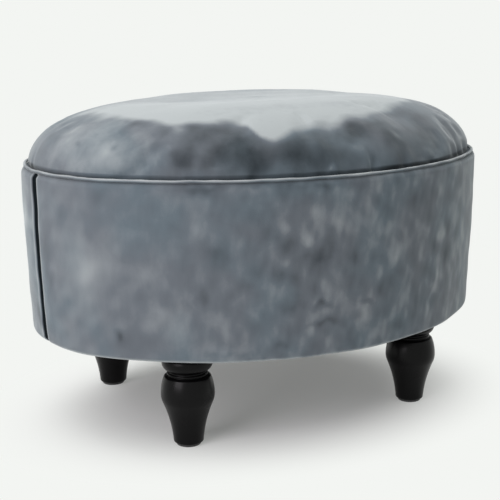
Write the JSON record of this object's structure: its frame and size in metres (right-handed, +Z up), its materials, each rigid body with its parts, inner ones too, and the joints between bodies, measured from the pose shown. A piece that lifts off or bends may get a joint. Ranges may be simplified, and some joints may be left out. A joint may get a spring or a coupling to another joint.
{
  "type": "upholstered footstool",
  "caption": "Oval footstool: a drum covered in soft velvet, a low domed seat pad edged with a welt, and short turned wooden feet.",
  "frame": {"origin": "on the floor under the middle of the stool", "axes": "+X along the oval to the right end, +Y to the back, +Z up"},
  "size_m": [0.5196, 0.3995, 0.338],
  "materials": {
    "turned_wood": "black satin lacquer on turned hardwood",
    "nylon": "moulded, matt",
    "pine": "planed, raw",
    "plywood": "birch faced, raw",
    "hardboard": "smooth one side",
    "foam": "open cell polyurethane foam",
    "wadding": "loose polyester fibre",
    "velvet": "short pile velvet with hand-brushed light and dark patches",
    "cord": "laid cotton cord",
    "dust_cloth": "black non-woven cloth",
    "zinc_steel": "bright zinc plated"
  },
  "bodies": {
    "root": {"foot_front_left": "turned_wood", "foot_front_right": "turned_wood", "foot_back_left": "turned_wood", "foot_back_right": "turned_wood", "glide_front_left": "nylon", "glide_front_right": "nylon", "glide_back_left": "nylon", "glide_back_right": "nylon", "post_left": "pine", "post_right": "pine", "post_front_left": "pine", "post_front_right": "pine", "post_back_left": "pine", "post_back_right": "pine", "base_board": "plywood", "top_board": "plywood", "seat_board": "plywood", "shell_front": "hardboard", "shell_back": "hardboard", "padding_front": "foam", "padding_back": "foam", "seat_foam": "foam", "seat_wadding": "wadding", "band_front": "velvet", "band_back": "velvet", "seat_cover": "velvet", "welt_cover": "velvet", "welt_cord": "cord", "dust_cover": "dust_cloth", "hanger_bolts": "zinc_steel", "tee_nuts": "zinc_steel", "board_screws": "zinc_steel", "seat_screws": "zinc_steel"}
  },
  "joints": []
}
